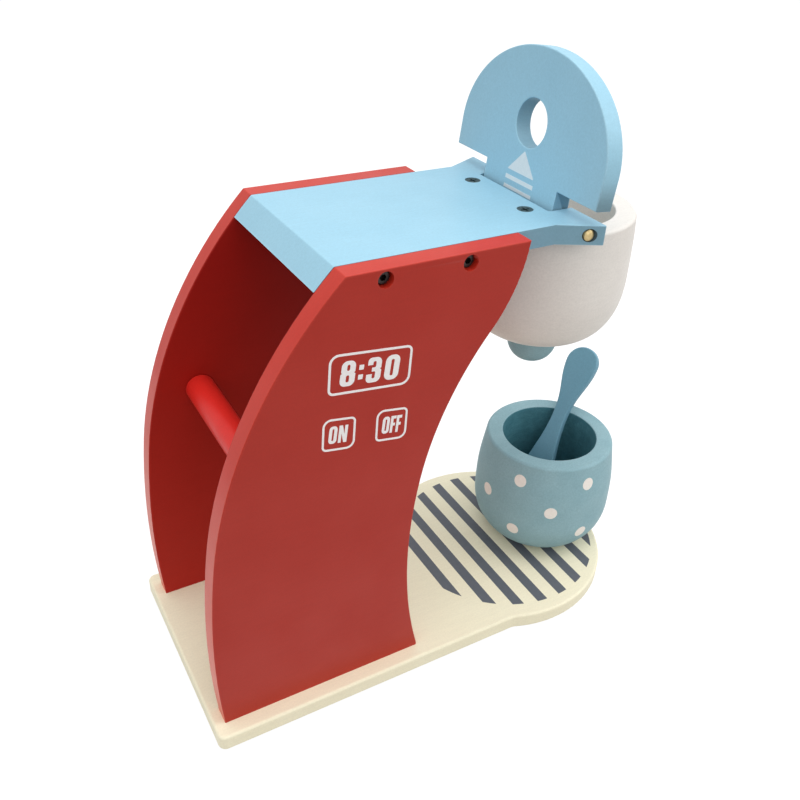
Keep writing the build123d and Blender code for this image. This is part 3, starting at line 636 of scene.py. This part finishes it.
evenAngle = addNode(tree, "ShaderNodeMath", {
    0: inRow, 1: given["Step"], 2: given["First Angle"]}, operation="MULTIPLY_ADD")
oddRow = addNode(tree, "ShaderNodeMath", {0: rowNumber, 1: 2.0}, operation="MODULO")
shift = addNode(tree, "ShaderNodeMath", {0: oddRow, 1: given["Row Shift"]}, operation="MULTIPLY")
angle = addNode(tree, "ShaderNodeMath", {0: evenAngle, 1: shift}, operation="ADD")
outward = addNode(tree, "ShaderNodeCombineXYZ", {
    "X": addNode(tree, "ShaderNodeMath", {0: angle}, operation="COSINE"),
    "Y": addNode(tree, "ShaderNodeMath", {0: angle}, operation="SINE")})
rowDrop = addNode(tree, "ShaderNodeMath", {0: rowNumber, 1: given["Row Drop"]},
                  operation="MULTIPLY")
rowHeight = addNode(tree, "ShaderNodeMath", {0: given["Top Row"], 1: rowDrop},
                    operation="SUBTRACT")
hub = addNode(tree, "ShaderNodeCombineXYZ", {"X": given["Axis"], "Z": rowHeight})
start = addNode(tree, "ShaderNodeVectorMath", {0: outward, 1: given["Start Radius"], 2: hub},
                operation="MULTIPLY_ADD")
spread = addNode(tree, "GeometryNodeSetPosition", {"Geometry": many, "Position": start})
disc = addNode(tree, "GeometryNodeMeshCircle", {
    "Vertices": 32, "Radius": given["Dot Radius"]}, fill_type="TRIANGLE_FAN")
fineDisc = addNode(tree, "GeometryNodeSubdivideMesh", {"Mesh": disc, "Level": 2})
faceOut = addNode(tree, "FunctionNodeAlignRotationToVector", {"Vector": outward}, axis="Z")
onPoints = addNode(tree, "GeometryNodeInstanceOnPoints", {
    "Points": spread, "Instance": fineDisc, "Rotation": faceOut})
realDots = addNode(tree, "GeometryNodeRealizeInstances", {"Geometry": onPoints})
cupShape = addNode(tree, "GeometryNodeObjectInfo", {"Object": given["Cup"]},
                   transform_space="RELATIVE").outputs["Geometry"]
dotSpot = addNode(tree, "GeometryNodeInputPosition")
axis = addNode(tree, "ShaderNodeCombineXYZ", {"X": given["Axis"]})
toAxis = addNode(tree, "ShaderNodeVectorMath", {0: axis, 1: dotSpot}, operation="SUBTRACT")
level = addNode(tree, "ShaderNodeVectorMath", {0: toAxis, 1: (1.0, 1.0, 0.0)},
                operation="MULTIPLY")
hit = addNode(tree, "GeometryNodeRaycast", {
    "Target Geometry": cupShape, "Source Position": dotSpot, "Ray Direction": level,
    "Ray Length": 1.0}).outputs
inwards = addNode(tree, "ShaderNodeMath", {0: given["Sink"], 1: -1.0}, operation="MULTIPLY")
sink = addNode(tree, "ShaderNodeVectorMath", {0: hit["Hit Normal"], 3: inwards},
               operation="SCALE")
underWall = addNode(tree, "ShaderNodeVectorMath", {0: hit["Hit Position"], 1: sink},
                    operation="ADD")
skin = addNode(tree, "GeometryNodeSetPosition", {"Geometry": realDots, "Position": underWall})
thick = addNode(tree, "GeometryNodeExtrudeMesh", {
    "Mesh": skin, "Offset Scale": given["Film"], "Individual": False})
under = addNode(tree, "GeometryNodeFlipFaces", {"Mesh": skin})
closed = addNode(tree, "GeometryNodeJoinGeometry")
for skinSide in (thick, under):
    tree.links.new(skinSide.outputs["Mesh"], closed.inputs["Geometry"])
sealed = addNode(tree, "GeometryNodeMergeByDistance", {"Geometry": closed, "Distance": printWeld})
closeTree(tree, sealed, given["Finish"])
dotMesh = grow("cupDots", tree, dots)
shadeRound(dotMesh)
place("cupDots", dotMesh, inks["chalkDotInk"], "cup")
print("stripes and dots printed")


def roundedLoop(corners, steps=6):
    # corners are (x, y, radius); each becomes an arc between its two edges
    loop = []
    for i, (x, y, radius) in enumerate(corners):
        corner = Vector((x, y))
        before = Vector(corners[i - 1][:2]) - corner
        after = Vector(corners[(i + 1) % len(corners)][:2]) - corner
        if radius <= 0:
            loop.append(corner)
            continue
        half = before.angle(after) / 2
        setback = min(radius / math.tan(half), before.length / 2, after.length / 2)
        radius = setback * math.tan(half)
        bisector = (before.normalized() + after.normalized()).normalized()
        middle = corner + bisector * (radius / math.sin(half))
        start = corner + before.normalized() * setback - middle
        end = corner + after.normalized() * setback - middle
        sweep = start.angle_signed(end)
        for k in range(steps + 1):
            loop.append(middle + Matrix.Rotation(-sweep * k / steps, 2) @ start)
    return loop


def printed(name, loops, spot, thickness):
    # flat closed film from outlines in mm; spot places it and its Z axis points off the wood
    curve = bpy.data.curves.new(name, "CURVE")
    curve.dimensions = "2D"
    curve.fill_mode = "BOTH"
    curve.extrude = thickness / 2 * mm
    for loop in loops:
        spline = curve.splines.new("POLY")
        spline.points.add(len(loop) - 1)
        for point, (x, y) in zip(spline.points, loop):
            point.co = (x * mm, y * mm, 0, 1)
        spline.use_cyclic_u = True
    helper = bpy.data.objects.new(name + "Helper", curve)
    bpy.context.scene.collection.objects.link(helper)
    mesh = plainMesh(helper, name)
    mesh.transform(spot)
    return mesh


def joined(name, meshes):
    # one mesh from many, its seams closed and its faces turned outwards
    whole = bmesh.new()
    for mesh in meshes:
        whole.from_mesh(mesh)
        bpy.data.meshes.remove(mesh)
    bmesh.ops.remove_doubles(whole, verts=whole.verts, dist=printWeld)
    bmesh.ops.recalc_face_normals(whole, faces=whole.faces)
    mesh = bpy.data.meshes.new(name)
    whole.to_mesh(mesh)
    whole.free()
    return mesh


def bar4(left, low, right, high, radius):
    # a box's four corners, all of one radius
    return [(left, low, radius), (right, low, radius), (right, high, radius), (left, high, radius)]


# Bold narrow characters on a body 12 mm high before scaling; each is a list of outlines, and
# an outline inside another is a hole.
drawnHeight = 12
glyphs = {
    "8": [[(0, 0, 2.6), (7, 0, 2.6), (7, 5.9, 1.5), (6.2, 6.3, 0.4), (6.8, 6.7, 1.5),
           (6.8, 12, 2.6), (0.2, 12, 2.6), (0.2, 6.7, 1.5), (0.8, 6.3, 0.4), (0, 5.9, 1.5)],
          bar4(2.75, 1.9, 4.25, 5.2, 0.7), bar4(2.8, 7.3, 4.2, 10.2, 0.7)],
    "3": [[(0, 0, 2.6), (7, 0, 2.6), (7, 5.9, 1.5), (6.1, 6.3, 0.4), (6.8, 6.7, 1.5),
           (6.8, 12, 2.6), (0.2, 12, 2.6), (0.2, 8.5, 0), (2.7, 8.5, 0), (2.7, 10.2, 0.7),
           (4.2, 10.2, 0.7), (4.2, 7.2, 0.7), (2.4, 7.2, 0), (2.4, 5.3, 0), (4.2, 5.3, 0.7),
           (4.2, 1.9, 0.7), (2.7, 1.9, 0.7), (2.7, 4.1, 0), (0, 4.1, 0)]],
    "0": [bar4(0, 0, 7, 12, 2.9), bar4(2.75, 2.0, 4.25, 10.0, 0.7)],
    "O": [bar4(0, 0, 5.8, 12, 2.4), bar4(2.2, 1.9, 3.6, 10.1, 0.65)],
    "N": [[(0, 0, 0), (2.0, 0, 0), (2.0, 6.6, 0), (3.8, 0, 0), (6.0, 0, 0), (6.0, 12, 0),
           (4.0, 12, 0), (4.0, 5.6, 0), (2.3, 12, 0), (0, 12, 0)]],
    "F": [[(0, 0, 0), (2.1, 0, 0), (2.1, 5.0, 0), (3.8, 5.0, 0), (3.8, 7.0, 0), (2.1, 7.0, 0),
           (2.1, 10.0, 0), (4.4, 10.0, 0), (4.4, 12, 0), (0, 12, 0)]],
    ":": [bar4(0, 2.4, 2.2, 4.7, 0.2), bar4(0, 7.0, 2.2, 9.3, 0.2)],
}
# The three boxes printed on the right side, in mm and degrees: the tilt turns the base line,
# the lean the uprights, the corners are the large and the small radius, and each character
# has its middle and its width.
signs = {
    "clock": {"centre": (-50.7, 184.4), "width": 37.6, "height": 18.4, "tilt": -6.0,
              "lean": 2.8, "corners": (4.4, 2.6), "line": 1.05, "glyphHeight": 11.4,
              "text": [("8", -10.2, 6.6), (":", -4.4, 2.1), ("3", 1.5, 6.6), ("0", 9.8, 6.6)]},
    "onButton": {"centre": (-64.7, 157.6), "width": 15.2, "height": 15.6, "tilt": -8.6,
                 "lean": 2.4, "corners": (4.0, 2.2), "line": 0.95, "glyphHeight": 8.4,
                 "text": [("O", -2.7, 3.7), ("N", 1.9, 4.0)]},
    "offButton": {"centre": (-40.05, 155.1), "width": 15.1, "height": 15.7, "tilt": -8.6,
                  "lean": 1.6, "corners": (4.0, 2.2), "line": 0.95, "glyphHeight": 8.4,
                  "text": [("O", -2.75, 3.4), ("F", 0.75, 2.5), ("F", 3.55, 2.5)]},
}
signPrint = {"film": 0.14, "slant": 0.07}       # mm; mm sideways for each mm of height
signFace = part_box("side_panel_right")[0].y
signMeshes = []
for name, sign in signs.items():
    tilt, lean = math.radians(sign["tilt"]), math.radians(sign["lean"])
    spot = Matrix((
        (math.cos(tilt), math.sin(lean), 0, sign["centre"][0] * mm),
        (0, 0, -1, signFace),
        (math.sin(tilt), math.cos(lean), 0, sign["centre"][1] * mm),
        (0, 0, 0, 1)))
    halfWidth, halfHeight = sign["width"] / 2, sign["height"] / 2
    big, small = sign["corners"]
    loops = []
    for inset in (0, sign["line"]):             # the line's outer and inner edge
        w, h = halfWidth - inset, halfHeight - inset
        loops.append(roundedLoop([(-w, -h, small - inset), (w, -h, big - inset),
                                  (w, h, small - inset), (-w, h, big - inset)]))
    signMeshes.append(printed(name, loops, spot, signPrint["film"]))
    scale = sign["glyphHeight"] / drawnHeight
    for letter, middle, width in sign["text"]:
        drawn = [roundedLoop(loop) for loop in glyphs[letter]]
        across = max(x for loop in drawn for x, y in loop)
        letterLoops = []
        for loop in drawn:
            heights = [(y - drawnHeight / 2) * scale for x, y in loop]
            letterLoops.append([
                (middle + (x / across - 0.5) * width + height * signPrint["slant"], height)
                for (x, y), height in zip(loop, heights)])
        signMeshes.append(printed(name + letter, letterLoops, spot, signPrint["film"]))
place("sideSigns", joined("sideSigns", signMeshes), inks["whitePanelInk"], "machine")

# Arrow and two bars on the lid, on the face that looks back when the lid stands open.
lidPrint = {"offset": -4.3, "film": 0.14, "arcSteps": 3,
            "marks": [[(-10, 11.9, 0.3), (10, 11.9, 0.3), (0, 22.4, 0.3)],
                      bar4(-10.4, 7.45, 10.4, 9.4, 0.1), bar4(-10.4, 3.2, 10.4, 4.8, 0.1)]}
spot = Matrix.Translation(hinge) @ Matrix.Rotation(lidLean, 4, "Y") @ Matrix((
    (0, 0, -1, lidPrint["offset"] * mm), (-1, 0, 0, 0), (0, 1, 0, 0), (0, 0, 0, 1)))
lidMeshes = [printed("lidMark", [roundedLoop(mark, lidPrint["arcSteps"])], spot, lidPrint["film"])
             for mark in lidPrint["marks"]]
place("lidMarks", joined("lidMarks", lidMeshes), inks["paleLidInk"], "lid")
print("signs printed")


def backgroundRays(tree):
    # 1 for the rays that see the pale studio, 0 for those that only carry its light
    rays = addNode(tree, "ShaderNodeLightPath").outputs
    seenOrShiny = addNode(tree, "ShaderNodeMath", {
        0: rays["Is Camera Ray"], 1: rays["Is Glossy Ray"]}, operation="MAXIMUM")
    return addNode(tree, "ShaderNodeMath", {
        0: seenOrShiny, 1: rays["Is Transmission Ray"]}, operation="MAXIMUM")


# Pale floor. The camera and gloss see it near white with the object's shadow; the light that
# it sends back is that of a sheet of paper, with a darker room beyond.
studio = {"floorSize": 6.0, "floorSeen": "ffffff", "floorGlow": 0.7, "glowStrength": 1.15,
          "paper": "c6c4c0", "paperReach": 0.28, "beyond": "4c4b49", "beyondReach": 0.6,
          "ambient": 0.66}      # sizes in metres
material, tree = newMaterial("paleStudioFloor")
seen = addNode(tree, "ShaderNodeBsdfDiffuse", {"Color": linearColour(studio["floorSeen"])})
glow = addNode(tree, "ShaderNodeEmission", {
    "Color": (1, 1, 1, 1), "Strength": studio["glowStrength"]})
seenFloor = addNode(tree, "ShaderNodeMixShader", {"Fac": studio["floorGlow"], 1: seen, 2: glow})
floorPlace = addNode(tree, "ShaderNodeTexCoord").outputs["Object"]
away = addNode(tree, "ShaderNodeVectorMath", {0: floorPlace}, operation="LENGTH").outputs["Value"]
fade = addNode(tree, "ShaderNodeMapRange", {
    "Value": away, "From Min": studio["paperReach"], "From Max": studio["beyondReach"]},
    interpolation_type="SMOOTHSTEP")
sheet = addNode(tree, "ShaderNodeMix", {
    "Factor": fade, "A": linearColour(studio["paper"]), "B": linearColour(studio["beyond"])},
    data_type="RGBA").outputs["Result"]
bounce = addNode(tree, "ShaderNodeBsdfDiffuse", {"Color": sheet})
floorLook = addNode(tree, "ShaderNodeMixShader", {
    "Fac": backgroundRays(tree), 1: bounce, 2: seenFloor})
addNode(tree, "ShaderNodeOutputMaterial", {"Surface": floorLook})
half = studio["floorSize"] / 2
floorMesh = bpy.data.meshes.new("studioFloor")
floorMesh.from_pydata([(-half, -half, 0), (half, -half, 0), (half, half, 0), (-half, half, 0)],
                      [], [(0, 1, 2, 3)])
floorMesh.materials.append(material)
floor = bpy.data.objects.new("studioFloor", floorMesh)
bpy.context.scene.collection.objects.link(floor)

world = bpy.data.worlds.new("studioWorld")
bpy.context.scene.world = world
world.use_nodes = True
tree = world.node_tree
tree.nodes.clear()
strength = addNode(tree, "ShaderNodeMapRange", {
    "Value": backgroundRays(tree), "To Min": studio["ambient"], "To Max": 1.0})
sky = addNode(tree, "ShaderNodeBackground", {"Color": (1, 1, 1, 1), "Strength": strength})
addNode(tree, "ShaderNodeOutputWorld", {"Surface": sky})

lamps = {                       # watts, side in metres, place in metres
    "overheadSoftbox": (12.5, 1.4, (0.1, 0.0, 1.9)),
    "rearSoftbox": (1.8, 0.8, (-1.0, -0.1, 0.95)),
    "frontSoftbox": (4.2, 0.8, (0.9, -0.5, 0.95)),
    "fillSoftbox": (2.2, 0.8, (-0.3, -1.1, 0.8)),
}
middle = (cadBox[0] + cadBox[1]) / 2
for name, (power, side, spot) in lamps.items():
    lamp = bpy.data.lights.new(name, "AREA")
    lamp.energy = power
    lamp.size = side
    softbox = bpy.data.objects.new(name, lamp)
    softbox.location = spot
    softbox.rotation_euler = (middle - Vector(spot)).to_track_quat("-Z", "Y").to_euler()
    bpy.context.scene.collection.objects.link(softbox)

# The camera's place is in mm. At azimuth 0 it looks along Y, and it looks down by its elevation.
view = {"place": (-192.0, -309.88, 360.68), "azimuth": 30.919, "elevation": 32.999,
        "roll": 2.826, "lens": 38.77, "sensor": 36, "shift": (0.00295, 0.0029),
        "nearest": 10.0}
lens = bpy.data.cameras.new("camera")
lens.lens = view["lens"]
lens.sensor_width = view["sensor"]
lens.shift_x, lens.shift_y = view["shift"]
lens.clip_start = view["nearest"] * mm
camera = bpy.data.objects.new("camera", lens)
bpy.context.scene.collection.objects.link(camera)
camera.matrix_world = (Matrix.Translation(Vector(view["place"]) * mm)
                       @ Matrix.Rotation(-math.radians(view["azimuth"]), 4, "Z")
                       @ Matrix.Rotation(math.radians(90 - view["elevation"]), 4, "X")
                       @ Matrix.Rotation(math.radians(view["roll"]), 4, "Z"))
bpy.context.scene.camera = camera
bpy.context.scene.view_settings.view_transform = "Standard"

print("studio ready")
